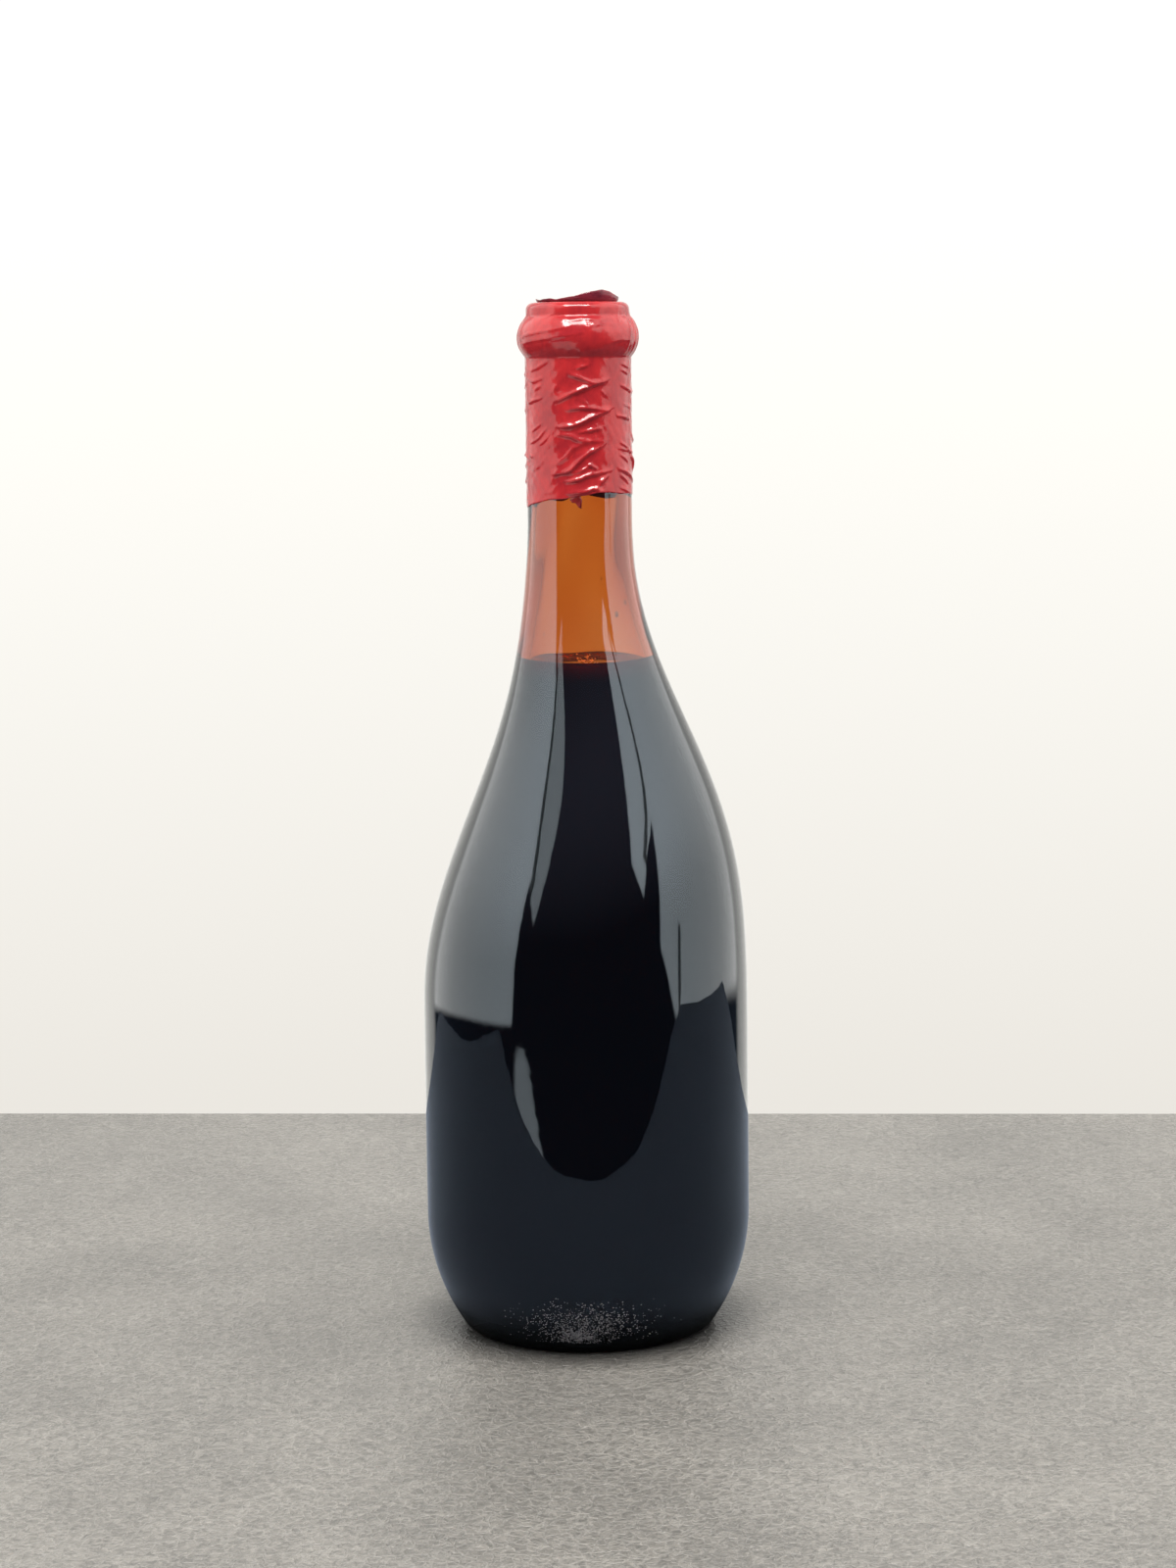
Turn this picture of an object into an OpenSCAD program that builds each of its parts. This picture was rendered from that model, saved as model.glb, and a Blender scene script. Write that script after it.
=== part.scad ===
// Filled wine bottle with a shrunk capsule over its neck. Millimetres, +Z up.
// The origin is the middle of the ring that the bottle stands on, and the front is -Y.

/* [Glass] */
// Height of the glass, from the ring it stands on to the mouth
glass_h = 279.4; // [232:0.1:340]
// Diameter of the straight body
body_d = 89; // [74:0.1:107]
// Height at which the straight body ends and the shoulder starts
body_h = 90; // [60:0.5:108]
// Thickness of the wall around the body
wall = 3.2; // [2:0.1:4.4]

/* [Foot] */
// Height of the curve between the foot and the straight body
heel_h = 31.5; // [20:0.5:45]
// How far the foot lies inside the body's line, on each side
heel_in = 10.2; // [8:0.1:12]
// Radius of the edge between the heel and the standing ring
foot_round = 2.5; // [1:0.1:4]
// Width of the flat ring that the bottle stands on
ring_w = 3.5; // [2:0.1:6]
// Depth of the punt, the hollow under the base
punt_h = 12; // [6:0.5:18]
// Thickness of the glass over the punt
floor_t = 6; // [4:0.1:9]
// Radius of the corner inside the base
corner_round = 5; // [2:0.1:8]

/* [Shoulder] */
// How long the shoulder keeps the body's line, as a share of its height
shoulder_low = 0.42; // [0.3:0.01:0.5]
// How soon the shoulder takes the neck's line, as a share of its height
shoulder_high = 0.41; // [0.3:0.01:0.5]
// How far the shoulder is fuller on its +X side, at the most
lean = 3.5; // [0:0.1:5]
// Height of straight glass between the lean and the neck
lean_gap = 10; // [4:0.5:20]

/* [Neck] */
// Outer diameter of the neck
neck_d = 28.2; // [27:0.1:34]
// Length of the neck, from the shoulder to the mouth
neck_len = 57; // [50:0.1:70]
// Diameter of the bore where the neck starts
neck_bore_d = 21; // [17:0.1:22]
// Diameter of the bore at the mouth
mouth_bore_d = 18.6; // [16:0.1:22]
// How far the lip stands out from the neck
lip_out = 1.9; // [1:0.1:3]
// Depth of the lip's widest point below the mouth
lip_drop = 9.1; // [8.6:0.1:14]
// Radius of the lip's rounded side
lip_round = 8; // [5:0.1:9]
// Radius of the hollow that blends the lip into the neck
lip_blend = 1.5; // [0.8:0.1:2]
// Radius of the mouth's outer edge
rim_round = 1.8; // [1:0.1:2]
// Radius of the mouth's inner edge
mouth_round = 0.5; // [0.3:0.1:0.6]

/* [Wine] */
// Free height above the wine, measured down from the mouth
ullage = 95; // [60:0.5:130]

/* [Capsule] */
// Thickness of the shrunk film
film_t = 0.2; // [0.1:0.05:0.4]
// Length of the capsule, from its top to the middle of its slanted lower edge
capsule_len = 53; // [30:0.5:64]
// Slant of the lower edge, in degrees
capsule_slant = 9.5; // [0:0.5:14]
// Direction in which the lower edge rises, in degrees from +X towards +Y
capsule_rise_at = -50; // [-180:5:180]

/* [Top disc] */
// Thickness of the disc
disc_t = 0.25; // [0.1:0.05:0.4]
// Width of the flat ring by which the disc lies on the capsule's rolled rim
disc_lap = 0.4; // [0.3:0.1:0.8]
// Width of the disc's turned-up edge, seen from above
disc_edge = 0.9; // [0.5:0.1:1.4]
// Height of the turned-up edge where it is lowest
disc_turn = 0.8; // [0.5:0.1:1.5]
// How much higher the edge curls at its highest point
disc_curl = 2.2; // [0:0.1:4]
// Direction of the curl's highest point, in degrees from +X towards +Y
disc_curl_at = -56; // [-180:2:180]

/* [Hidden] */
sides = 44;              // flats around each skin
fine = 128;              // segments of the turned shapes
blend_steps = 2;         // steps along the smallest arcs
edge_steps = 3;          // along rounded edges and corners
rim_steps = 4;           // along the mouth's edge, the floor and the inner heel
punt_steps = 5;
heel_steps = 6;
lip_steps = 8;
shoulder_steps = 14;
bore_steps = 12;         // along the inside of the shoulder
eps = 0.01;
curl_sharpness = 20;     // higher makes the curl narrower
clear = 20;              // how far a cutting block reaches past what it cuts

body_r = body_d / 2;
neck_r = neck_d / 2;
neck_z = glass_h - neck_len;
shoulder_h = neck_z - body_h;
fill_z = glass_h - ullage;

// The heel is one arc, level with the body at heel_h and heel_in further in at the ring.
heel_r = (heel_in * heel_in + heel_h * heel_h) / (2 * heel_in);
heel_c = [body_r - heel_r, heel_h];
foot_c = [heel_c.x + sqrt(pow(heel_r - foot_round, 2) - pow(heel_h - foot_round, 2)), foot_round];
foot_turn = direction(heel_c, foot_c);

// The punt is one arc from the standing ring's inner edge, and the floor runs parallel to it.
ring_in = foot_c.x - ring_w;
punt_r = (ring_in * ring_in + punt_h * punt_h) / (2 * punt_h);
punt_c = [0, punt_h - punt_r];
corner_c = crossing(punt_c, punt_r + floor_t + corner_round, heel_c, heel_r - wall - corner_round);
corner_low = direction(punt_c, corner_c);
corner_high = direction(heel_c, corner_c);

// The lip bulges between two small hollows, and the mouth's outer edge is rounded.
lip_c = [neck_r + lip_out - lip_round, glass_h - lip_drop];
blend_x = neck_r + lip_blend;
blend_dz = sqrt(pow(lip_round + lip_blend, 2) - pow(blend_x - lip_c.x, 2));
blend_turn = atan2(blend_dz, blend_x - lip_c.x);
rim_c = [neck_r - rim_round, glass_h - rim_round];
mouth_c = [mouth_bore_d / 2 + mouth_round, glass_h - mouth_round];

hole_r = mouth_c.x;
capsule_z = glass_h + film_t - capsule_len;
disc_flat_r = hole_r + disc_lap;
disc_z = glass_h + film_t;

// Direction from one point of a profile to another, in degrees
function direction(from, to) = atan2(to.y - from.y, to.x - from.x);

// The outer of the two points where a circle around a meets a circle around b
function crossing(a, a_r, b, b_r) =
    let(d = norm(b - a), u = (b - a) / d, along = (a_r * a_r - b_r * b_r + d * d) / (2 * d),
        across = sqrt(a_r * a_r - along * along))
    a + along * u + across * [u.y, -u.x];

// Points of an arc around c, from one direction to another
function arc(c, r, from, to, steps) =
    [for (i = [0:steps]) let(a = from + (to - from) * i / steps) c + r * [cos(a), sin(a)]];

// Profile of the shoulder between a body radius and a neck radius: a Bezier curve, upright at both ends
function shoulder(low_r, high_r, steps) =
    [for (i = [0:steps]) let(t = i / steps, s = 1 - t)
        s * s * s * [low_r, body_h]
        + 3 * s * s * t * [low_r, body_h + shoulder_low * shoulder_h]
        + 3 * s * t * t * [high_r, neck_z - shoulder_high * shoulder_h]
        + t * t * t * [high_r, neck_z]];

// Profile of the neck's outside, grown by g: the lip and the mouth's edge, from the shoulder up
function neck_side(g) = concat(
    arc([blend_x, lip_c.y - blend_dz], lip_blend - g, 180, 180 - blend_turn, blend_steps),
    arc(lip_c, lip_round + g, -blend_turn, blend_turn, lip_steps),
    arc([blend_x, lip_c.y + blend_dz], lip_blend - g, 180 + blend_turn, 180, blend_steps),
    arc(rim_c, rim_round + g, 0, 90, rim_steps));

// Outside of the shoulder and neck together, grown by g
function upper_side(g) =
    concat([for (p = shoulder(body_r, neck_r, shoulder_steps)) p + [g, 0]], neck_side(g));

function part_above(points, z) = [for (p = points) if (p.y > z) p];
function part_below(points, z) = [for (p = points) if (p.y < z) p];
function backwards(points) = [for (i = [len(points) - 1:-1:0]) points[i]];
function radius_at(points, z) = lookup(z, [for (p = points) [p.y, p.x]]);

// The glass's outside from the standing ring up, and its inside from the floor up
outside = concat(
    [[ring_in, 0]],
    arc(foot_c, foot_round, -90, foot_turn, edge_steps),
    part_above(arc(heel_c, heel_r, foot_turn, 0, heel_steps), foot_round),
    upper_side(0));
floor_side = concat(
    part_below(arc(punt_c, punt_r + floor_t, 90, corner_low, rim_steps), punt_h + floor_t - eps),
    arc(corner_c, corner_round, corner_low - 180, corner_high, edge_steps),
    part_above(arc(heel_c, heel_r - wall, corner_high, 0, rim_steps), corner_c.y));
upper_inside = concat(
    shoulder(body_r - wall, neck_bore_d / 2, bore_steps),
    arc(mouth_c, mouth_round, 180, 90, blend_steps));
wet_side = concat(
    floor_side,
    part_below(upper_inside, fill_z),
    [[radius_at(upper_inside, fill_z), fill_z]]);

// Sideways shift of the glass at a height: a smooth swell between the body and the neck
function shift(z) =
    let(top = neck_z - lean_gap, u = max(0, min(1, (z - body_h) / (top - body_h))))
    lean * pow(sin(180 * u), 2);

// Rings of points around the axis, one for each point of a profile
function rings(profile) =
    [for (p = profile) [for (i = [0:sides - 1]) let(a = 360 * i / sides)
        [shift(p.y) + p.x * cos(a), p.x * sin(a), p.y]]];

// A closed skin over a stack of rings, drawn together to one point at each end
module skin(start, stack, end) {
    n = sides;
    last = len(stack) - 1;
    points = concat([start], [for (ring = stack) each ring], [end]);
    faces = concat(
        [for (i = [0:n - 1]) [0, 1 + i, 1 + (i + 1) % n]],
        [for (k = [0:last - 1], i = [0:n - 1])
            let(a = 1 + k * n + i, b = 1 + k * n + (i + 1) % n)
            each [[a, a + n, b + n], [a, b + n, b]]],
        [for (i = [0:n - 1]) [1 + last * n + i, 1 + n + last * n, 1 + last * n + (i + 1) % n]]);
    polyhedron(points, faces, convexity = 8);
}

module glass() {
    punt = part_below(arc(punt_c, punt_r, 90, direction(punt_c, [ring_in, 0]), punt_steps), punt_h - eps);
    inside = concat(wet_side, part_above(upper_inside, fill_z));
    color([0.72, 0.38, 0.12, 0.45])
        skin([0, 0, punt_h], rings(concat(part_above(punt, eps), outside, backwards(inside))),
             [0, 0, punt_h + floor_t]);
}

module wine() {
    color([0.16, 0.03, 0.06])
        skin([0, 0, punt_h + floor_t], rings(wet_side), [shift(fill_z), 0, fill_z]);
}

// The film follows the glass's neck and lip, and folds in over the mouth.
module capsule() {
    low = capsule_z - tan(capsule_slant) * (neck_r + lip_out) - film_t;
    function side(g) = concat(
        [[radius_at(upper_side(0), low) + g, low]],
        part_above(upper_side(g), low),
        [[hole_r, glass_h + g]]);
    color([0.78, 0.13, 0.15])
        difference() {
            rotate_extrude($fn = fine)
                polygon(concat(side(0), backwards(side(film_t))));
            translate([0, 0, capsule_z])
                rotate([0, 0, capsule_rise_at])
                    rotate([0, -capsule_slant, 0])
                        translate([-clear - neck_r, -clear - neck_r, -glass_h])
                            cube([2 * (clear + neck_r), 2 * (clear + neck_r), glass_h]);
        }
}

// A flat disc over the mouth, whose edge is turned up and curls highest on one side
module top_disc() {
    function turn(a) = disc_turn + disc_curl * pow(cos((a - disc_curl_at) / 2), curl_sharpness);
    function edge_ring(t, inset) = [for (i = [0:sides - 1]) let(a = 360 * i / sides)
        let(r = disc_flat_r + (disc_edge - inset) * sin(90 * t))
        [r * cos(a), r * sin(a), disc_z + inset + (turn(a) - inset) * (1 - cos(90 * t))]];
    under = [for (i = [0:edge_steps]) edge_ring(i / edge_steps, 0)];
    over = [for (i = [edge_steps:-1:0]) edge_ring(i / edge_steps, disc_t)];
    color([0.42, 0.08, 0.16])
        skin([0, 0, disc_z], concat(under, over), [0, 0, disc_z + disc_t]);
}

glass();
wine();
capsule();
top_disc();
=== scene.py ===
"""Looks of the filled wine bottle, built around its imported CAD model. Metres, +Z up, front -Y.

Lengths that repeat the part's own source are in millimetres here, and MM turns them into metres.
Angles around the bottle are in degrees from +X towards +Y, so the front is at -90.
"""

import math

import bpy
import numpy as np
from mathutils import Matrix, Vector


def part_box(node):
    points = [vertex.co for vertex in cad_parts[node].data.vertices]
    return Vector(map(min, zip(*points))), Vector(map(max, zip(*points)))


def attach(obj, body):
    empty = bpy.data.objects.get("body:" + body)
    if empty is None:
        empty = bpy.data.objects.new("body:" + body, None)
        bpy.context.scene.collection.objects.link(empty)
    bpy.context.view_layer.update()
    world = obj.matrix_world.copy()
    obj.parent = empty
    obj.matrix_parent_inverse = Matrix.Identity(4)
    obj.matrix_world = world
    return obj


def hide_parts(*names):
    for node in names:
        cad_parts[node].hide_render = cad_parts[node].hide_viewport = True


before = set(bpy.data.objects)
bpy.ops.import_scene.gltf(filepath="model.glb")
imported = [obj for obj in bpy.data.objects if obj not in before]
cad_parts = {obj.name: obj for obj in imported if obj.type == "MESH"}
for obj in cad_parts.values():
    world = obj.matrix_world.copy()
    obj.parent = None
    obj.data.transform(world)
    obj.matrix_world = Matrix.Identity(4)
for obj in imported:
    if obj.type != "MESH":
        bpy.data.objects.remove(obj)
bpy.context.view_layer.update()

SEED = 7
MM = 0.001

# ---- sizes of the CAD model, in millimetres ----
glass_low, glass_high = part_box("glass")
GLASS_H = glass_high.z / MM
BODY_R = (glass_high.y - glass_low.y) / 2 / MM
FILL_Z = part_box("wine")[1].z / MM
BODY_H, WALL = 90.0, 3.2
HEEL_H, HEEL_IN, FOOT_ROUND, RING_W = 31.5, 10.2, 2.5, 3.5
PUNT_H, FLOOR_T, CORNER_ROUND = 12.0, 6.0, 5.0
SHOULDER_LOW, SHOULDER_HIGH, LEAN, LEAN_GAP = 0.42, 0.41, 3.5, 10.0
NECK_R, NECK_LEN, NECK_BORE_R, MOUTH_BORE_R = 14.1, 57.0, 10.5, 9.3
LIP_OUT, LIP_DROP, LIP_ROUND, LIP_BLEND = 1.9, 9.1, 8.0, 1.5
RIM_ROUND, MOUTH_ROUND = 1.8, 0.5
RIM_IN = 0.4           # how far the rim's side lies inside the neck's line
FILM_T, CAPSULE_LEN, CAPSULE_SLANT, CAPSULE_RISE_AT = 0.2, 53.0, 9.5, -50.0
DISC_T, DISC_LAP, DISC_EDGE, DISC_TURN = 0.25, 0.4, 0.9, 0.8
DISC_CURL, DISC_CURL_AT, CURL_SHARPNESS = 2.2, -56.0, 20

NECK_Z = GLASS_H - NECK_LEN
SHOULDER_H = NECK_Z - BODY_H
CAPSULE_Z = GLASS_H + FILM_T - CAPSULE_LEN
HOLE_R = MOUTH_BORE_R + MOUTH_ROUND
DISC_Z = GLASS_H + FILM_T


# ---- profiles, as (radius, height) rows in millimetres ----
def direction(start, end):
    return math.degrees(math.atan2(end[1] - start[1], end[0] - start[0]))


def arc(center, radius, start, end, steps):
    a = np.radians(np.linspace(start, end, steps + 1))
    return np.column_stack([center[0] + radius * np.cos(a), center[1] + radius * np.sin(a)])


def crossing(a, a_r, b, b_r):
    """The outer point where a circle around a meets a circle around b."""
    a, b = np.array(a), np.array(b)
    d = np.linalg.norm(b - a)
    u = (b - a) / d
    along = (a_r**2 - b_r**2 + d**2) / (2 * d)
    return a + along * u + math.sqrt(a_r**2 - along**2) * np.array([u[1], -u[0]])


def shoulder(low_r, high_r, steps):
    t = np.linspace(0, 1, steps + 1)[:, None]
    s = 1 - t
    p = [(low_r, BODY_H), (low_r, BODY_H + SHOULDER_LOW * SHOULDER_H),
         (high_r, NECK_Z - SHOULDER_HIGH * SHOULDER_H), (high_r, NECK_Z)]
    weights = (s**3, 3 * s**2 * t, 3 * s * t**2, t**3)
    return sum(w * np.array(point) for w, point in zip(weights, p))


SHOULDER_SIDE = shoulder(BODY_R, NECK_R, 64)
LIP_C = (NECK_R + LIP_OUT - LIP_ROUND, GLASS_H - LIP_DROP)
BLEND_X = NECK_R + LIP_BLEND
BLEND_DZ = math.sqrt((LIP_ROUND + LIP_BLEND) ** 2 - (BLEND_X - LIP_C[0]) ** 2)
BLEND_TURN = math.degrees(math.atan2(BLEND_DZ, BLEND_X - LIP_C[0]))
RIM_C = (NECK_R - RIM_IN - RIM_ROUND, GLASS_H - RIM_ROUND)
UPPER_X = BLEND_X - RIM_IN
UPPER_DZ = math.sqrt((LIP_ROUND + LIP_BLEND) ** 2 - (UPPER_X - LIP_C[0]) ** 2)
UPPER_TURN = math.degrees(math.atan2(UPPER_DZ, UPPER_X - LIP_C[0]))
MOUTH_C = (HOLE_R, GLASS_H - MOUTH_ROUND)


def neck_side(grow):
    """The lip and the mouth's outer edge, from below the lip up, grown by grow."""
    return np.vstack([
        arc((BLEND_X, LIP_C[1] - BLEND_DZ), LIP_BLEND - grow, 180, 180 - BLEND_TURN, 8),
        arc(LIP_C, LIP_ROUND + grow, -BLEND_TURN, UPPER_TURN, 30)[1:],
        arc((UPPER_X, LIP_C[1] + UPPER_DZ), LIP_BLEND - grow, 180 + UPPER_TURN, 180, 8)[1:],
        arc(RIM_C, RIM_ROUND + grow, 0, 90, 12)])


HEEL_R = (HEEL_IN**2 + HEEL_H**2) / (2 * HEEL_IN)
HEEL_C = (BODY_R - HEEL_R, HEEL_H)
FOOT_C = (HEEL_C[0] + math.sqrt((HEEL_R - FOOT_ROUND) ** 2 - (HEEL_H - FOOT_ROUND) ** 2), FOOT_ROUND)
FOOT_TURN = direction(HEEL_C, FOOT_C)
RING_IN = FOOT_C[0] - RING_W
PUNT_R = (RING_IN**2 + PUNT_H**2) / (2 * PUNT_H)
PUNT_C = (0.0, PUNT_H - PUNT_R)
CORNER_C = crossing(PUNT_C, PUNT_R + FLOOR_T + CORNER_ROUND, HEEL_C, HEEL_R - WALL - CORNER_ROUND)


def upright(radius_low, z_low, radius_high, z_high, steps):
    """Points between two heights, without the two ends."""
    t = np.linspace(0, 1, steps + 1)[1:-1]
    return np.column_stack([radius_low + (radius_high - radius_low) * t, z_low + (z_high - z_low) * t])


def outer_profile():
    neck = neck_side(0)
    return np.vstack([
        arc(PUNT_C, PUNT_R, 90, direction(PUNT_C, (RING_IN, 0)), 14)[1:],
        [((RING_IN + FOOT_C[0]) / 2, 0.0)],
        arc(FOOT_C, FOOT_ROUND, -90, FOOT_TURN, 6),
        arc(HEEL_C, HEEL_R, FOOT_TURN, 0, 24)[1:],
        upright(BODY_R, HEEL_H, BODY_R, BODY_H, 24),
        SHOULDER_SIDE,
        upright(NECK_R, NECK_Z, NECK_R, neck[0, 1], 10),
        neck])


def inner_profile():
    """The inside from the middle of the floor up to the mouth."""
    low = direction(PUNT_C, CORNER_C)
    high = direction(HEEL_C, CORNER_C)
    return np.vstack([
        arc(PUNT_C, PUNT_R + FLOOR_T, 90, low, 12)[1:],
        arc(CORNER_C, CORNER_ROUND, low - 180, high, 8)[1:],
        arc(HEEL_C, HEEL_R - WALL, high, 0, 12)[1:],
        upright(BODY_R - WALL, HEEL_H, BODY_R - WALL, BODY_H, 16),
        shoulder(BODY_R - WALL, NECK_BORE_R, 56),
        upright(NECK_BORE_R, NECK_Z, MOUTH_BORE_R, MOUTH_C[1], 20),
        arc(MOUTH_C, MOUTH_ROUND, 180, 90, 5)])


def shift(z):
    """Sideways swell of the shoulder towards +X at a height."""
    u = np.clip((z - BODY_H) / (NECK_Z - LEAN_GAP - BODY_H), 0, 1)
    return LEAN * np.sin(math.pi * u) ** 2


def radius_at(profile, z):
    """A profile's radius at a height, or its nearest end's beyond the profile."""
    return np.interp(z, profile[:, 1], profile[:, 0])


# ---- mesh helpers ----
def smooth_waves(seed, count, around, up_mm, rows_a, rows_z):
    """A smooth field over angle and height, about -1 to 1: seeded waves that close around the bottle."""
    rng = np.random.default_rng(seed)
    total = np.zeros(np.broadcast(rows_a, rows_z).shape)
    for _ in range(count):
        turns = rng.integers(around[0], around[1] + 1)
        wave = rng.uniform(up_mm[0], up_mm[1])
        phase, sign = rng.uniform(0, 2 * math.pi), rng.choice([-1, 1])
        total += np.sin(turns * rows_a + sign * 2 * math.pi * rows_z / wave + phase)
    return total / math.sqrt(count)


def rings_of(profile, sides, swell=None):
    """Rings of points in millimetres around the bottle's shifted axis, one for each row of a profile."""
    a = np.linspace(0, 2 * math.pi, sides, endpoint=False)[None, :]
    r, z = profile[:, :1], profile[:, 1:]
    radius = r + (swell(a, z) if swell else 0 * a)
    return np.stack([shift(z) + radius * np.cos(a), radius * np.sin(a), z + 0 * a], axis=2)


def mesh_object(name, points_mm, faces, materials, face_material=None):
    mesh = bpy.data.meshes.new(name)
    mesh.from_pydata((np.asarray(points_mm) * MM).tolist(), [], faces)
    mesh.update()
    mesh.polygons.foreach_set("use_smooth", [True] * len(mesh.polygons))
    obj = bpy.data.objects.new(name, mesh)
    bpy.context.scene.collection.objects.link(obj)
    for material in materials:
        mesh.materials.append(material)
    if face_material is not None:
        mesh.polygons.foreach_set("material_index", face_material)
    return obj


def skin(rings, start=None, end=None):
    """Points and faces of a skin over a stack of rings, with a point at each end where one is given."""
    count, sides = rings.shape[:2]
    points = rings.reshape(-1, 3).tolist()
    faces = []
    for k in range(count - 1):
        low, high = k * sides, (k + 1) * sides
        faces += [(low + i, low + (i + 1) % sides, high + (i + 1) % sides, high + i) for i in range(sides)]
    if start is not None:
        points.append(list(start))
        tip = len(points) - 1
        faces += [(tip, (i + 1) % sides, i) for i in range(sides)]
    if end is not None:
        points.append(list(end))
        tip, base = len(points) - 1, (count - 1) * sides
        faces += [(tip, base + i, base + (i + 1) % sides) for i in range(sides)]
    return points, faces


# ---- materials ----
GLASS_TINT = (0.75, 0.88, 1.0, 1)           # reflections in the glass are slightly blue
AMBER, AMBER_DENSITY = (0.837, 0.508, 0.025, 1), 600.0
# The surface's redder edge colour is painted light: the red of light coming through the thin wine at the
# glass.
WINE_TOP, WINE_TOP_EDGE_PAINTED_LIGHT = (0.012, 0.002, 0.003), (0.13, 0.014, 0.010)
WINE_EDGE_FROM, WINE_EDGE_TO = 0.0085, 0.0118      # where the painted light reddens the surface, in metres from the axis
WINE_DEEP, WINE_CLOUD = (0.0010, 0.0006, 0.0012), (0.0018, 0.0009, 0.0018)
# The side's redder colour just under the top is painted light: light coming down through the thin wine there.
WINE_SIDE_PAINTED_LIGHT = (0.030, 0.004, 0.004)
PAINTED_LIGHT_DEPTH = 0.006                                # how far down the side the painted light reddens it, in metres
FOAM_PALE, FOAM_DARK = (0.95, 0.80, 0.74), (0.60, 0.36, 0.30)
FILM_GLOSS = 0.23
RED_FILM = (0.315, 0.016, 0.018), (0.225, 0.012, 0.016), 0.11       # colour, darker patches, roughness
DARK_FILM = (0.17, 0.018, 0.030), (0.09, 0.011, 0.020), 0.16
# The torn bit is a darker copy of the red film: the darkness is painted shade.
TORN_FILM_PAINTED_SHADE = (0.15, 0.007, 0.007), (0.08, 0.005, 0.005), 0.30
STIPPLE_DARK, STIPPLE_PALE = (0.045, 0.045, 0.050), (0.23, 0.205, 0.200)


def new_material(name):
    material = bpy.data.materials.new(name)
    material.use_nodes = True
    tree = material.node_tree
    shader = tree.nodes["Principled BSDF"]
    return material, tree, shader


def add(tree, kind, **settings):
    node = tree.nodes.new(kind)
    for key, value in settings.items():
        setattr(node, key, value)
    return node


def calc(tree, operation, *inputs, clamp=False):
    node = add(tree, "ShaderNodeMath", operation=operation, use_clamp=clamp)
    for k, value in enumerate(inputs):
        if isinstance(value, (int, float)):
            node.inputs[k].default_value = value
        else:
            tree.links.new(value, node.inputs[k])
    return node.outputs[0]


def remap(tree, value, low, high, to_low=0.0, to_high=1.0, smooth=True):
    node = add(tree, "ShaderNodeMapRange", interpolation_type="SMOOTHSTEP" if smooth else "LINEAR")
    tree.links.new(value, node.inputs["Value"])
    for key, number in (("From Min", low), ("From Max", high), ("To Min", to_low), ("To Max", to_high)):
        node.inputs[key].default_value = number
    return node.outputs["Result"]


def mix_colour(tree, factor, a, b, clamp=True):
    node = add(tree, "ShaderNodeMix", data_type="RGBA", clamp_factor=clamp)
    for key, value in ((0, factor), (6, a), (7, b)):
        if isinstance(value, (int, float)):
            node.inputs[key].default_value = value
        elif isinstance(value, tuple):
            node.inputs[key].default_value = (*value, 1)
        else:
            tree.links.new(value, node.inputs[key])
    return node.outputs[2]


def noise(tree, scale, detail=3.0, roughness=0.5, stretch=(1, 1, 1), distortion=0.0):
    """Noise in the bottle's own coordinates. scale is in features per metre."""
    place = add(tree, "ShaderNodeTexCoord")
    mapping = add(tree, "ShaderNodeMapping")
    mapping.inputs["Scale"].default_value = stretch
    tree.links.new(place.outputs["Object"], mapping.inputs["Vector"])
    node = add(tree, "ShaderNodeTexNoise")
    tree.links.new(mapping.outputs[0], node.inputs["Vector"])
    for key, value in (("Scale", scale), ("Detail", detail), ("Roughness", roughness),
                       ("Distortion", distortion)):
        node.inputs[key].default_value = value
    return node.outputs["Fac"]


def bump(tree, shader, height, distance, strength=1.0):
    node = add(tree, "ShaderNodeBump")
    node.inputs["Distance"].default_value = distance
    node.inputs["Strength"].default_value = strength
    tree.links.new(height, node.inputs["Height"])
    tree.links.new(node.outputs[0], shader.inputs["Normal"])


def glass_material():
    """Amber glass: the colour is all in its depth, and the surface is slightly wavy."""
    material, tree, shader = new_material("amber_glass")
    shader.inputs["Base Color"].default_value = (1, 1, 1, 1)
    shader.inputs["Transmission Weight"].default_value = 1.0
    shader.inputs["Roughness"].default_value = 0.0
    shader.inputs["IOR"].default_value = 1.5
    shader.inputs["Specular Tint"].default_value = GLASS_TINT
    depth = add(tree, "ShaderNodeVolumeAbsorption")
    depth.inputs["Color"].default_value = AMBER
    depth.inputs["Density"].default_value = AMBER_DENSITY
    tree.links.new(depth.outputs[0], tree.nodes["Material Output"].inputs["Volume"])
    waves = noise(tree, 45, detail=1.0, stretch=(1, 1, 0.35))
    ripples = noise(tree, 260, detail=2.0, stretch=(1, 1, 0.5))
    height = calc(tree, "MULTIPLY_ADD", ripples, 0.06, waves)
    bump(tree, shader, height, 0.00022)
    return material


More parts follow.
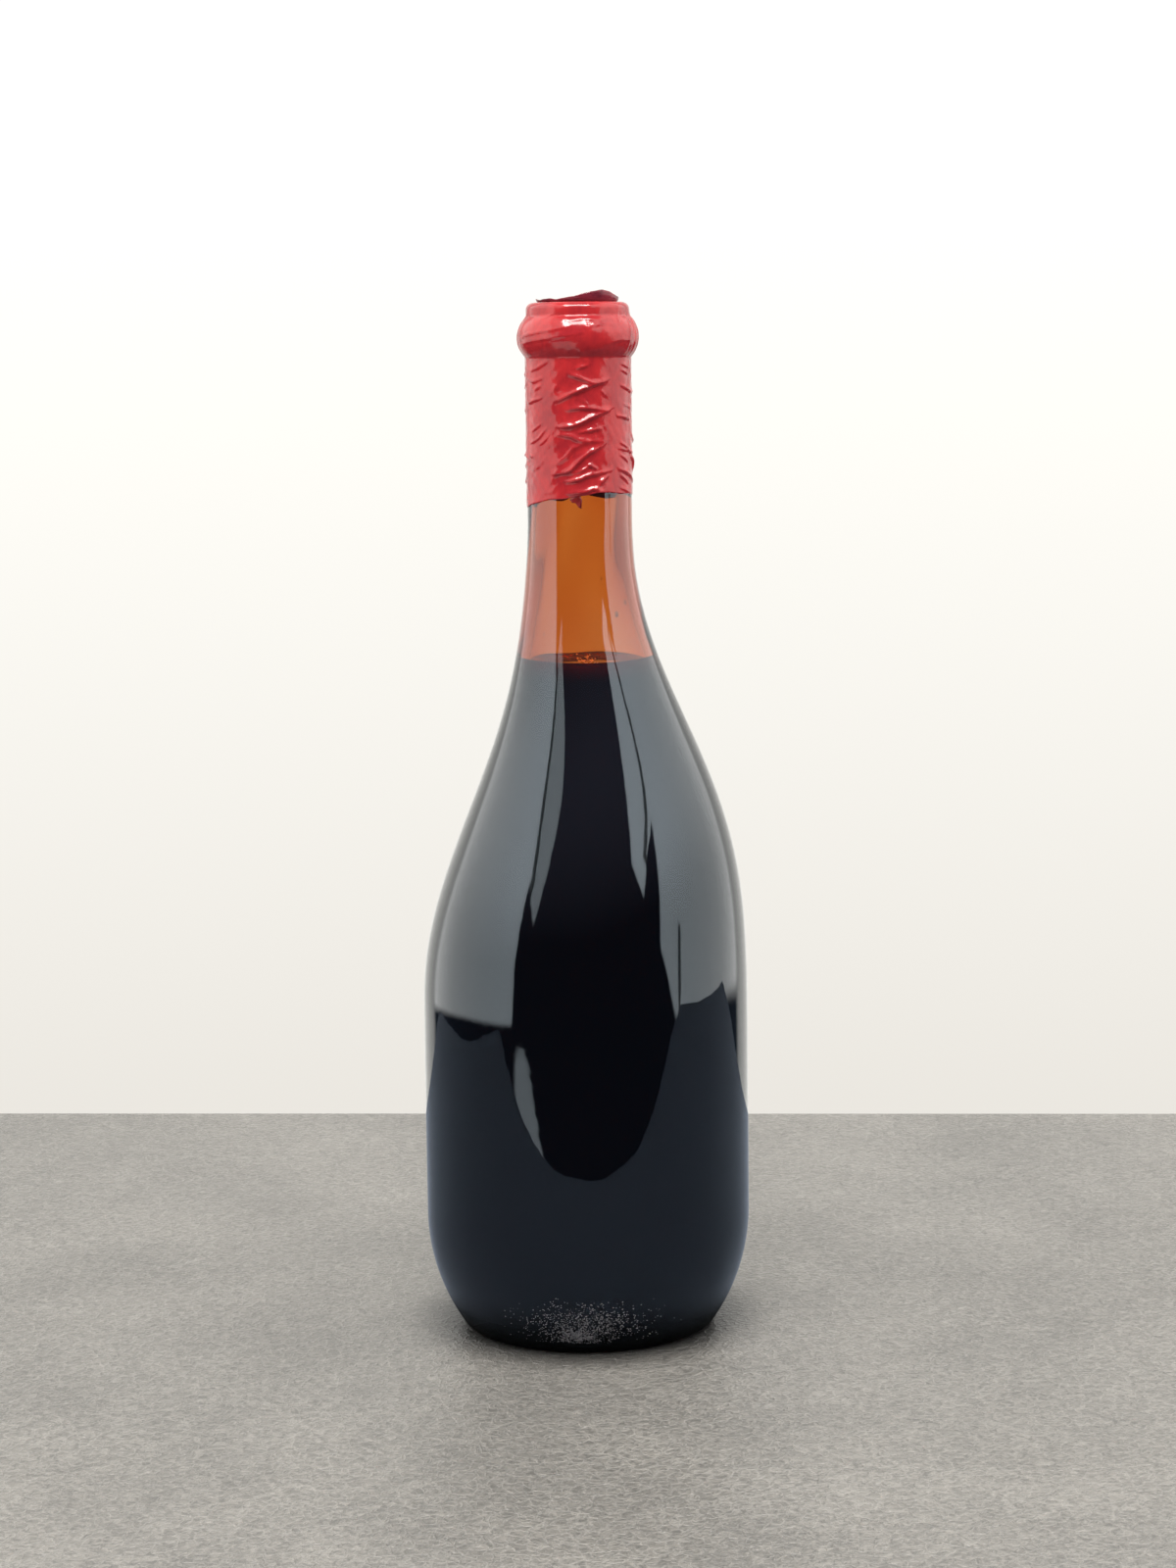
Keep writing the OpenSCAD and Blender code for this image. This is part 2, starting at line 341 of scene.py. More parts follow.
def wine_material(name, surface):
    """Red wine: its glossy surface, redder at the thin edge, or its side, redder just under the top. Both
    reds are painted light, from light coming through the thin wine there.
    """
    material, tree, shader = new_material(name)
    place = add(tree, "ShaderNodeTexCoord")
    parts = add(tree, "ShaderNodeSeparateXYZ")
    tree.links.new(place.outputs["Object"], parts.inputs[0])
    if surface:
        x_part = calc(tree, "MULTIPLY", parts.outputs[0], parts.outputs[0])
        y_part = calc(tree, "MULTIPLY", parts.outputs[1], parts.outputs[1])
        radius = calc(tree, "SQRT", calc(tree, "ADD", x_part, y_part))
        # painted light: the surface reddens towards the glass, where light comes through the thin wine
        edge = remap(tree, radius, WINE_EDGE_FROM, WINE_EDGE_TO)
        colour = mix_colour(tree, edge, WINE_TOP, WINE_TOP_EDGE_PAINTED_LIGHT)
        shader.inputs["Specular IOR Level"].default_value = 0.45
        shader.inputs["Roughness"].default_value = 0.03
    else:
        cloud = noise(tree, 60, detail=3.0)
        # painted light: the side reddens just under the top, where light passes through little wine
        painted_light_share = remap(tree, parts.outputs[2], FILL_Z * MM - PAINTED_LIGHT_DEPTH, FILL_Z * MM)
        deep = mix_colour(tree, cloud, WINE_DEEP, WINE_CLOUD)
        colour = mix_colour(tree, painted_light_share, deep, WINE_SIDE_PAINTED_LIGHT)
        shader.inputs["Specular IOR Level"].default_value = 0.0
        shader.inputs["Roughness"].default_value = 0.25
    tree.links.new(colour, shader.inputs["Base Color"])
    return material


def film_material(name, red, shade, rough):
    """Shrunk plastic film: glossy, with fine stretch marks and a slightly uneven colour."""
    material, tree, shader = new_material(name)
    cloud = noise(tree, 140, detail=4.0, roughness=0.6, distortion=0.6)
    streaks = noise(tree, 420, detail=3.0, roughness=0.6, stretch=(1, 1, 0.3), distortion=1.2)
    patchy = calc(tree, "MULTIPLY_ADD", streaks, 0.35, calc(tree, "MULTIPLY", cloud, 0.65))
    colour = mix_colour(tree, remap(tree, patchy, 0.36, 0.64), shade, red)
    tree.links.new(colour, shader.inputs["Base Color"])
    tree.links.new(remap(tree, cloud, 0.3, 0.7, rough - 0.03, rough + 0.05), shader.inputs["Roughness"])
    shader.inputs["Specular IOR Level"].default_value = FILM_GLOSS
    height = calc(tree, "MULTIPLY_ADD", cloud, 0.9, calc(tree, "MULTIPLY", streaks, 0.22))
    bump(tree, shader, height, 0.00012)
    return material


def stipple_material():
    """Rough glass over the dark wine: it scatters a little light."""
    material, tree, shader = new_material("stippled_glass")
    grain = noise(tree, 700, detail=3.0, roughness=0.7)
    colour = mix_colour(tree, remap(tree, grain, 0.35, 0.7), STIPPLE_DARK, STIPPLE_PALE)
    tree.links.new(colour, shader.inputs["Base Color"])
    shader.inputs["Roughness"].default_value = 0.32
    shader.inputs["Specular IOR Level"].default_value = 0.8
    bump(tree, shader, grain, 0.0001)
    return material


def floor_material():
    """Pale grey table top with a mottled grain and a web of paler veins, and painted shade around the
    bottle's foot.
    """
    material, tree, shader = new_material("stage_table")
    grain = noise(tree, 420, detail=4.0, roughness=0.72, distortion=1.5)
    cloud = noise(tree, 18, detail=3.0)
    both = calc(tree, "MULTIPLY_ADD", grain, 0.80, calc(tree, "MULTIPLY", cloud, 0.20))
    colour = mix_colour(tree, remap(tree, both, 0.36, 0.64), TABLE_DARK, TABLE_PALE)
    # painted shadow: the colour darkens towards TABLE_SHADE where the bottle's foot is near
    nearby = add(tree, "ShaderNodeAmbientOcclusion", samples=8)
    nearby.inputs["Distance"].default_value = SHADE_REACH
    open_sky = remap(tree, nearby.outputs["AO"], 0.32, 0.88)
    place = add(tree, "ShaderNodeTexCoord")
    wander = add(tree, "ShaderNodeTexNoise")
    wander.inputs["Scale"].default_value = VEIN_BENDS
    tree.links.new(place.outputs["Object"], wander.inputs["Vector"])
    moved = add(tree, "ShaderNodeVectorMath", operation="MULTIPLY_ADD")
    moved.inputs[1].default_value = (VEIN_WANDER,) * 3
    tree.links.new(wander.outputs["Color"], moved.inputs[0])
    tree.links.new(place.outputs["Object"], moved.inputs[2])
    cells = add(tree, "ShaderNodeTexVoronoi", feature="DISTANCE_TO_EDGE")
    cells.inputs["Scale"].default_value = VEIN_CELLS
    tree.links.new(moved.outputs[0], cells.inputs["Vector"])
    veins = remap(tree, cells.outputs["Distance"], 0.0, 0.14, 1.0, 0.0)
    vein_share = calc(tree, "MULTIPLY", veins, remap(tree, cloud, 0.35, 0.65, *VEIN_SHARE))
    colour = mix_colour(tree, vein_share, colour, TABLE_VEIN)
    rays = add(tree, "ShaderNodeLightPath")
    colour = mix_colour(tree, rays.outputs["Is Camera Ray"], TABLE_REFLECTED, colour)
    colour = mix_colour(tree, open_sky, TABLE_SHADE, colour)
    tree.links.new(colour, shader.inputs["Base Color"])
    shader.inputs["Roughness"].default_value = 0.34
    gloss = remap(tree, rays.outputs["Is Camera Ray"], 0.0, 1.0, 0.0, TABLE_GLOSS, smooth=False)
    tree.links.new(gloss, shader.inputs["Specular IOR Level"])
    bump(tree, shader, calc(tree, "MULTIPLY_ADD", veins, 0.35, grain), 0.0006, 0.8)
    return material


# ---- the bottle ----
GLASS_SIDES = 192
OUTER_WAVE, INNER_WAVE = 0.022, 0.22        # how far the glass wavers, in millimetres
# Small bubbles in the neck's glass: direction, height, depth under the surface and radius
SEEDS_IN_GLASS = [(-41, 199.7, 1.5, 0.40), (-55, 196.7, 1.5, 0.50), (62, 205.0, 1.7, 0.30),
                  (140, 190.0, 1.5, 0.35)]
SEED_STRETCH = 1.6                          # how much taller than wide they are


def seed_bubble(points, faces, center, radii):
    """A closed bubble of air inside the glass: its faces look inwards."""
    sides, rows = 10, 6
    base = len(points)
    points.append([center[0], center[1], center[2] - radii[2]])
    for k in range(1, rows):
        tilt = math.pi * k / rows
        for i in range(sides):
            a = 2 * math.pi * i / sides
            points.append([center[0] + radii[0] * math.sin(tilt) * math.cos(a),
                           center[1] + radii[1] * math.sin(tilt) * math.sin(a),
                           center[2] - radii[2] * math.cos(tilt)])
    points.append([center[0], center[1], center[2] + radii[2]])
    top = len(points) - 1
    row = lambda k, i: base + 1 + (k - 1) * sides + i % sides
    for i in range(sides):
        faces.append((base, row(1, i), row(1, i + 1)))
        faces.append((top, row(rows - 1, i + 1), row(rows - 1, i)))
        for k in range(1, rows - 1):
            faces.append((row(k, i), row(k + 1, i), row(k + 1, i + 1), row(k, i + 1)))


def make_glass(material):
    """The bottle's outside and inside in one closed skin.

    It returns how the inside wavers, which the wine follows.
    """
    def outer_swell(a, z):
        body = np.clip((z - 30) / 25, 0, 1) * np.clip((NECK_Z - z) / 20, 0, 1)
        neck = 0.45 * np.clip((z - NECK_Z + 20) / 20, 0, 1) * np.clip((CAPSULE_Z - z) / 8, 0, 1)
        return OUTER_WAVE * (body + neck) * smooth_waves(SEED, 16, (2, 9), (35, 110), a, z)

    def inner_swell(a, z):
        inside = np.clip((z - 40) / 40, 0, 1) * np.clip((GLASS_H - 6 - z) / 20, 0, 1)
        return INNER_WAVE * inside * smooth_waves(SEED + 1, 14, (1, 6), (30, 90), a, z)

    outer = rings_of(outer_profile(), GLASS_SIDES, outer_swell)
    inner = rings_of(inner_profile(), GLASS_SIDES, inner_swell)[::-1]
    points, faces = skin(np.concatenate([outer, inner]), (0, 0, PUNT_H), (0, 0, PUNT_H + FLOOR_T))
    for angle, z, depth, size in SEEDS_IN_GLASS:
        a = math.radians(angle)
        r = radius_at(SHOULDER_SIDE, z) - depth
        center = (shift(z) + r * math.cos(a), r * math.sin(a), z)
        seed_bubble(points, faces, center, (size, size, SEED_STRETCH * size))
    glass = mesh_object("bottle_glass", points, faces, [material])
    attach(glass, "root")
    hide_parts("glass")
    return inner_swell


WINE_IN_WALL = 0.3      # how far the wine reaches into the glass, so that no air gap shows
MENISCUS_H, MENISCUS_W, MENISCUS_FALL = 1.3, 2.4, 2.3
FRONT_DIP = 0.45        # how much lower the wine's edge stands in front


def make_wine(side_material, top_material, inner_swell):
    """The wine, a little into the wall, with a flat surface whose edge climbs the glass."""
    inside = inner_profile()
    wet = inside[inside[:, 1] < FILL_Z - 0.8]
    top_r = radius_at(inside[inside[:, 1] > BODY_H], FILL_Z)
    wet = np.vstack([wet, [(top_r, FILL_Z)]])
    into_wall = lambda a, z: inner_swell(a, z) + WINE_IN_WALL
    side = rings_of(wet, GLASS_SIDES, into_wall)
    side[:, :, 2] -= WINE_IN_WALL * np.clip((30 - side[:, :, 2]) / 10, 0, 1)
    around = np.linspace(0, 2 * math.pi, GLASS_SIDES, endpoint=False)
    side[-1, :, 2] -= FRONT_DIP * np.clip(-np.sin(around), 0, 1) ** 2
    rim = side[-1]
    flat_z = FILL_Z - MENISCUS_H
    center = np.array([shift(FILL_Z), 0.0, flat_z])
    rings = []
    for inwards in np.linspace(0, 1, 15)[1:-1]:
        ring = center + (rim - center) * (1 - inwards)
        ring[:, 2] = flat_z + (rim[:, 2] - flat_z) * np.exp(-inwards * top_r / MENISCUS_W * MENISCUS_FALL)
        rings.append(ring)
    points, faces = skin(np.concatenate([side, rings]), (0, 0, PUNT_H + FLOOR_T - WINE_IN_WALL),
                         (center[0], 0, flat_z))
    split = (len(side) - 1) * GLASS_SIDES
    bottom = (len(side) + len(rings) - 1) * GLASS_SIDES       # the faces of the wine's underside
    kinds = [0 if k < split or bottom <= k < bottom + GLASS_SIDES else 1 for k in range(len(faces))]
    wine = mesh_object("red_wine", points, faces, [side_material, top_material], kinds)
    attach(wine, "root")
    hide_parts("wine")


# Foam bubbles on the glass at the wine's front edge: their spread in degrees and millimetres, and their radii
FOAM_COUNT, FOAM_AT, FOAM_SPREAD, FOAM_RISE, FOAM_SIZE = 46, -90.0, 8.5, (-0.5, 2.7), (0.10, 0.34)


def foam_material():
    material, tree, shader = new_material("wine_foam")
    colour = mix_colour(tree, noise(tree, 900, detail=2.0), FOAM_PALE, FOAM_DARK)
    tree.links.new(colour, shader.inputs["Base Color"])
    shader.inputs["Roughness"].default_value = 0.18
    return material


def make_foam(material):
    """Small bubbles left on the inside of the neck, where the wine's surface meets the glass in front."""
    rng = np.random.default_rng(SEED + 9)
    inside = inner_profile()
    inside = inside[inside[:, 1] > BODY_H]
    points, faces = [], []
    for _ in range(FOAM_COUNT):
        a = math.radians(FOAM_AT + rng.normal(0, FOAM_SPREAD / 2))
        z = FILL_Z - FRONT_DIP + rng.uniform(*FOAM_RISE) * rng.uniform(0.2, 1.0)
        size = rng.uniform(*FOAM_SIZE)
        r = radius_at(inside, z) - 0.3 * size
        center = (shift(z) + r * math.cos(a), r * math.sin(a), z)
        seed_bubble(points, faces, center, (size, size * 0.8, size * 0.8))
    outwards = [face[::-1] for face in faces]
    foam = mesh_object("wine_bubbles", points, outwards, [material])
    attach(foam, "root")


# ---- the shrunk film ----
# Creases of the film. Each is a line of (direction, height) points, how wide and how high the fold stands in
# millimetres, and how much steeper its lower side is.
CREASES = [
    ([(-112, 253.6), (-94, 255.7), (-79, 257.2), (-58, 258.8)], 1.15, 0.72, 2.2),
    ([(-111, 246.6), (-96, 246.9), (-86, 247.9), (-75, 249.3), (-55, 251.0)], 1.20, 0.80, 2.4),
    ([(-103, 251.1), (-89, 251.7), (-78, 251.5), (-58, 250.9)], 0.95, 0.49, 1.8),
    ([(-92, 262.0), (-80, 262.7)], 0.75, 0.38, 1.6),
    ([(-99, 260.4), (-89, 259.7), (-79, 258.4), (-70, 258.2)], 0.85, 0.46, 1.6),
    ([(-113, 258.0), (-118, 256.0), (-112, 253.6)], 1.20, 0.20, 1.0),
    ([(-66, 256.4), (-60, 254.8)], 0.60, 0.23, 1.2),
    ([(-86, 253.6), (-80, 252.6)], 0.55, 0.20, 1.2),
    ([(-113, 244.8), (-100, 244.4), (-88, 242.9), (-63, 242.8)], 1.15, 0.43, 1.5),
    ([(-90, 245.3), (-78, 245.6), (-66, 246.2)], 0.85, 0.43, 1.8),
    ([(-115, 234.2), (-100, 234.9), (-90, 237.6), (-82, 239.4), (-62, 241.9)], 1.15, 0.72, 2.2),
    ([(-115, 236.9), (-103, 238.9), (-96, 241.3), (-81, 242.3)], 1.05, 0.35, 1.4),
    ([(-101, 234.0), (-83, 235.5), (-77, 237.0)], 0.80, 0.38, 1.6),
    ([(-80, 236.7), (-71, 235.5)], 0.60, 0.43, 1.5),
    ([(-104, 232.2), (-90, 232.7), (-83, 233.7), (-53, 235.1)], 0.95, 0.55, 1.9),
    ([(-72, 229.9), (-66, 232.3), (-56, 234.0)], 0.85, 0.61, 1.6),
    ([(-100, 229.0), (-82, 229.4), (-76, 230.3), (-62, 229.3)], 1.00, 0.80, 1.7),
    ([(-37, 263.2), (-18, 262.0)], 0.60, 0.26, 1.5),
    ([(-38, 261.7), (-21, 260.4)], 0.60, 0.24, 1.5),
    ([(-38, 257.5), (-12, 255.6)], 0.65, 0.34, 1.6),
    ([(-45, 249.5), (-20, 248.5)], 0.65, 0.36, 2.0),
    ([(-34, 252.6), (-10, 251.2)], 0.70, 0.22, 1.2),
    ([(-40, 242.4), (-22, 240.6)], 0.60, 0.30, 1.6),
    ([(-41, 240.8), (-6, 239.4)], 0.70, 0.36, 1.7),
    ([(-40, 239.2), (-24, 237.2)], 0.65, 0.34, 1.7),
    ([(-16, 239.0), (-5, 237.2), (-2, 234.8)], 1.10, 0.62, 1.1),
    ([(-42, 235.4), (-22, 233.9), (-4, 231.6)], 0.75, 0.46, 1.6),
    ([(-40, 233.8), (-23, 231.3)], 0.60, 0.32, 1.6),
    ([(-40, 230.4), (-12, 228.4)], 0.70, 0.30, 1.5),
    ([(-155, 261.5), (-140, 262.2), (-125, 264.0)], 0.80, 0.20, 1.2),
    ([(-158, 259.4), (-146, 258.6), (-132, 259.6)], 0.80, 0.22, 1.4),
    ([(-146, 256.4), (-134, 257.6)], 0.70, 0.18, 1.5),
    ([(-160, 253.0), (-150, 253.4), (-134, 254.3)], 0.70, 0.32, 1.8),
    ([(-151, 245.6), (-143, 246.4), (-134, 247.6)], 0.60, 0.18, 1.3),
    ([(-157, 242.4), (-146, 242.9), (-138, 243.8), (-127, 246.4)], 0.60, 0.24, 1.4),
    ([(-139, 241.8), (-131, 242.8), (-124, 244.4)], 0.55, 0.18, 1.3),
    ([(-158, 239.2), (-149, 238.8)], 0.60, 0.26, 1.2),
    ([(-150, 235.2), (-138, 236.4), (-127, 239.2)], 0.90, 0.14, 1.1),
    ([(-122, 231.8), (-118, 234.0), (-112, 236.2)], 1.30, 0.29, 1.1),
    ([(-132, 229.0), (-120, 230.0), (-112, 232.0)], 1.00, 0.12, 1.0),
    ([(-165, 269.6), (-151, 270.9), (-122, 271.9), (-98, 273.0)], 0.60, 0.24, 1.6),
    ([(-160, 268.6), (-140, 269.3), (-113, 270.1), (-84, 271.4)], 0.55, 0.20, 1.5),
    ([(-100, 274.6), (-84, 275.2), (-64, 274.6)], 0.70, 0.20, 1.3),
    ([(-82, 272.6), (-66, 273.8), (-50, 273.4)], 0.55, 0.16, 1.3),
    ([(-60, 268.4), (-44, 269.6), (-26, 269.2)], 0.60, 0.18, 1.3),
    ([(-130, 275.2), (-116, 276.6), (-100, 276.9)], 0.60, 0.16, 1.2),
    ([(-44, 274.2), (-40, 276.4), (-37, 278.4)], 0.55, 0.28, 1.0),
    ([(-33, 266.6), (-30, 270.4), (-27, 274.6), (-25, 277.4)], 0.55, 0.30, 1.0),
    ([(-20, 264.8), (-18, 268.6), (-16, 272.4), (-12, 276.8)], 0.60, 0.34, 1.0),
    ([(-9, 265.4), (-7, 269.0), (-5, 273.2), (-4, 277.0)], 0.55, 0.36, 1.0),
    ([(4, 264.6), (6, 268.4), (8, 272.2), (10, 276.6)], 0.60, 0.32, 1.0),
    ([(-168, 275.0), (-164, 276.8), (-161, 278.2)], 0.50, 0.24, 1.0),
    ([(-178, 266.4), (-175, 270.2), (-172, 274.4)], 0.55, 0.26, 1.0),
]
FILM_SIDES = 384
BACK_RISE, BACK_RISE_AT = 3.0, 105.0                  # how much higher the edge is at the back: mm, degrees
LIFT_FROM, LIFT_TO, LIFT_OUT = -84.0, -61.0, 0.55     # where the lower edge stands off the glass: degrees, mm
LIFT_H = 0.9                                          # how far up that fades, in mm
PRESSED, PRESSED_H = 0.25, 1.5                        # share of the folds left at the edge, mm to all of it
LIP_FOLDS, RIM_FOLDS = 0.75, 0.5                      # share of the folds on the lip and on the rim
DEEPEST, DEEPEST_ON_RIM = -0.05, -0.04                # how far a hollow may go into the film, in mm
FILM_INSIDE = 0.03                                    # gap between the glass and the film's inside
UNDER_LIP_ROWS = 118
BACK_FOLDS, BACK_LIP_FOLDS = 34, 18
WAVES, FINE_WAVES = 0.045, 0.028                      # small waves all over the film, in mm


def unseen_creases():
    """Seeded folds for the film's back, of the same kind as the ones in front."""
    rng = np.random.default_rng(SEED + 2)
    found = []
    for _ in range(BACK_FOLDS):
        a = rng.uniform(0, 190)
        z = rng.uniform(228, 263)
        span, rise = rng.uniform(14, 50), rng.uniform(-2.5, 3.5)
        bend = rng.uniform(-1.2, 1.2)
        line = [(a - span / 2, z - rise / 2), (a, z + bend), (a + span / 2, z + rise / 2)]
        found.append((line, rng.uniform(0.6, 1.2), rng.uniform(0.16, 0.46), rng.uniform(1.1, 2.2)))
    for _ in range(BACK_LIP_FOLDS):
        a, z = rng.uniform(15, 185), rng.uniform(267, 276)
        span, rise = rng.uniform(6, 30), rng.uniform(-2.0, 2.5)
        line = [(a - span / 2, z - rise / 2), (a + span / 2, z + rise / 2)]
        found.append((line, rng.uniform(0.5, 0.8), rng.uniform(0.14, 0.30), rng.uniform(1.0, 1.6)))
    return found


def crease_height(angle, z, creases):
    """How far the film stands out at each (angle in degrees, height in mm), from all its creases."""
    total = np.zeros(np.broadcast(angle, z).shape)
    per_degree = math.radians(1) * (NECK_R + FILM_T)
    for line, width, height, steepness in creases:
        line = np.array(line, float)
        t = np.linspace(0, len(line) - 1, 6 * (len(line) - 1) + 1)
        corners = np.arange(len(line))
        path = np.column_stack([np.interp(t, corners, line[:, 0]), np.interp(t, corners, line[:, 1])])
        for _ in range(3):
            path[1:-1] = (path[:-2] + 2 * path[1:-1] + path[2:]) / 4
        reach_a = 4 * width / per_degree
        turn = (angle - path[:, 0].mean() + 180) % 360 - 180 + path[:, 0].mean()
        near = ((turn > path[:, 0].min() - reach_a) & (turn < path[:, 0].max() + reach_a)
                & (z > path[:, 1].min() - 4 * width) & (z < path[:, 1].max() + 4 * width))
        x, y = turn[near] * per_degree, z[near]
        px, py = path[:, 0] * per_degree, path[:, 1]
        best = np.full(x.shape, 1e9)
        side, along = np.zeros(x.shape), np.zeros(x.shape)
        for k in range(len(path) - 1):
            dx, dy = px[k + 1] - px[k], py[k + 1] - py[k]
            length = math.hypot(dx, dy) + 1e-9
            u = ((x - px[k]) * dx + (y - py[k]) * dy) / length**2
            v = np.clip(u, 0, 1)
            gap = np.hypot(x - px[k] - v * dx, y - py[k] - v * dy)
            closer = gap < best
            best = np.where(closer, gap, best)
            across = (dx * (y - py[k]) - dy * (x - px[k])) / length
            if dx < 0:
                across = -across
            side = np.where(closer, across, side)
            along = np.where(closer, (k + v) / (len(path) - 1), along)
        fall = np.where(side < 0, best * steepness, best) / width
        taper = np.sin(math.pi * np.clip(0.06 + 0.88 * along, 0, 1)) ** 0.6
        ridge = np.exp(-(fall**1.5) * 1.6)
        hollow = 0.30 * np.exp(-(((np.where(side < 0, best, 9 * width) - 1.1 * width) / (0.6 * width)) ** 2))
        total[near] = total[near] + height * taper * (ridge - hollow)
    return total


def film_edge(angle):
    """Height of the capsule's lower edge at each angle in degrees: slanted, uneven, higher at the back."""
    slope = math.tan(math.radians(CAPSULE_SLANT)) * (NECK_R + FILM_T)
    z = CAPSULE_Z + slope * np.cos(np.radians(angle - CAPSULE_RISE_AT))
    z = z + 0.18 * np.sin(np.radians(5 * angle + 40)) + 0.10 * np.sin(np.radians(11 * angle + 10))
    back = np.clip(np.cos(np.radians(angle - BACK_RISE_AT)), 0, 1) ** 1.5
    return z + BACK_RISE * back + 0.35 * smooth_bump(angle, LIFT_FROM, LIFT_TO)


def smooth_bump(angle, start, end):
    """1 in the middle of a span of angles, falling smoothly to 0 at its ends."""
    u = np.clip((angle - start) / (end - start), 0, 1)
    return np.sin(math.pi * u) ** 2


def lifted(angle, from_edge):
    """How far the film stands off the glass, from its lower edge up."""
    return LIFT_OUT * smooth_bump(angle, LIFT_FROM, LIFT_TO) * np.exp(-from_edge / LIFT_H)


def make_capsule(material):
    """The film: its folded outside from the lower edge up to the mouth, and its plain inside back down."""
    angle = -180 + 360 * np.arange(FILM_SIDES) / FILM_SIDES
    a = np.radians(angle)
    side = neck_side(FILM_T)[:-13]
    top_arc = arc(RIM_C, RIM_ROUND + FILM_T, 0, 90, 12)
    low_z = film_edge(angle)
    lip_z = side[0, 1]
    creases = CREASES + unseen_creases()
    rows = []

    def add_row(radius, z):
        rows.append(np.column_stack([radius * np.cos(a), radius * np.sin(a), z + 0 * a]))

    def folds(z):
        z = z + 0 * a
        waves = WAVES * smooth_waves(SEED + 3, 14, (3, 14), (5, 16), a, z)
        waves = waves + FINE_WAVES * smooth_waves(SEED + 4, 16, (10, 34), (2.5, 7), a, z)
        return waves + crease_height(angle, z, creases)

    for t in np.arange(UNDER_LIP_ROWS + 1) / UNDER_LIP_ROWS:
        from_edge = (lip_z - low_z) * t
        z = low_z + from_edge
        pressed = PRESSED + (1 - PRESSED) * np.clip(from_edge / PRESSED_H, 0, 1)
        out = FILM_T + lifted(angle, from_edge) + np.maximum(folds(z) * pressed, DEEPEST)
        add_row(radius_at(SHOULDER_SIDE, z) + out, z)
    for r, z in side[1:]:
        add_row(r + np.maximum(LIP_FOLDS * folds(z), DEEPEST), z)
    for k, (r, z) in enumerate(top_arc[1:]):
        tilt = math.radians(90 * (k + 1) / 12)
        add_row(r + np.maximum(RIM_FOLDS * folds(z), DEEPEST_ON_RIM) * math.cos(tilt), z)
    top_r = top_arc[-1, 0]
    for t in (0.35, 0.7, 1.0):
        add_row(top_r + (HOLE_R - top_r) * t, DISC_Z)
    add_row(HOLE_R, GLASS_H + FILM_INSIDE)
    add_row(RIM_C[0], GLASS_H + FILM_INSIDE)
    for r, z in neck_side(FILM_INSIDE)[::-1][1::3]:
        add_row(r, z)
    for t in np.linspace(1, 0, 13)[1:]:
        from_edge = (lip_z - low_z) * t
        z = low_z + from_edge
        add_row(radius_at(SHOULDER_SIDE, z) + FILM_INSIDE + lifted(angle, from_edge), z)
    points, faces = skin(np.array(rows))
    last = (len(rows) - 1) * FILM_SIDES
    faces += [(last + i, last + (i + 1) % FILM_SIDES, (i + 1) % FILM_SIDES, i) for i in range(FILM_SIDES)]
    film = mesh_object("capsule_film", points, faces, [material])
    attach(film, "root")
    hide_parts("capsule")


DISC_SIDES = 256
DISC_SAG, DISC_RIPPLE, DISC_RIPPLE_UP, DISC_WAVE = 0.22, 0.06, 1.6, 0.05


def make_disc(material):
    """The disc on top: flat in the middle, with a turned-up edge that curls highest at the front right."""
    angle = -180 + 360 * np.arange(DISC_SIDES) / DISC_SIDES
    a = np.radians(angle)
    flat_r = HOLE_R + DISC_LAP
    turn = DISC_TURN + DISC_CURL * np.cos(np.radians((angle - DISC_CURL_AT) / 2)) ** CURL_SHARPNESS
    ripple = DISC_RIPPLE * smooth_waves(SEED + 5, 10, (5, 24), (40, 80), a, 0 * a)

    slow = smooth_waves(SEED + 6, 8, (2, 7), (40, 80), a, 0 * a)

    def edge(t, inset):
        r = flat_r + (DISC_EDGE - inset) * math.sin(math.pi / 2 * t) + ripple * t
        z = DISC_Z + inset + (turn + DISC_RIPPLE_UP * ripple - inset) * (1 - math.cos(math.pi / 2 * t))
        return np.column_stack([r * np.cos(a), r * np.sin(a), z])

    def flat(share, z, sag=0.0, wave=0.0):
        r = flat_r * share
        z = z - sag / 2 * (1 - share**2) + wave * share * (1 - share) * slow
        return np.column_stack([r * np.cos(a), r * np.sin(a), z])

    shares = (0.2, 0.4, 0.6, 0.8)
    under = [flat(s, DISC_Z) for s in shares] + [edge(t, 0) for t in np.linspace(0, 1, 12)]
    over = [edge(t, DISC_T) for t in np.linspace(1, 0, 12)]
    over += [flat(s, DISC_Z + DISC_T, DISC_SAG, DISC_WAVE) for s in shares[::-1]]
    points, faces = skin(np.array(under + over), (0, 0, DISC_Z), (0, 0, DISC_Z + DISC_T - DISC_SAG / 2))
    disc = mesh_object("top_disc_film", points, faces, [material])
    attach(disc, "root")
    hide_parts("top_disc")


# Grains of glass on the front of the heel, in two patches: count, direction and height each with its spread,
# and the ranges of radius and thickness. The second patch is denser and low on the left.
STIPPLE = [(1150, (-91, 11.5), (9.0, 3.4), (0.07, 0.20), (0.03, 0.07)),
           (350, (-96, 4.5), (5.6, 1.3), (0.10, 0.30), (0.05, 0.12))]
STIPPLE_LOW, STIPPLE_HIGH = 3.4, 18
GRAIN_ROOT, GRAIN_TIP, GRAIN_SIDES = 0.06, 0.08, 6    # how far edge and middle reach into the glass, in mm


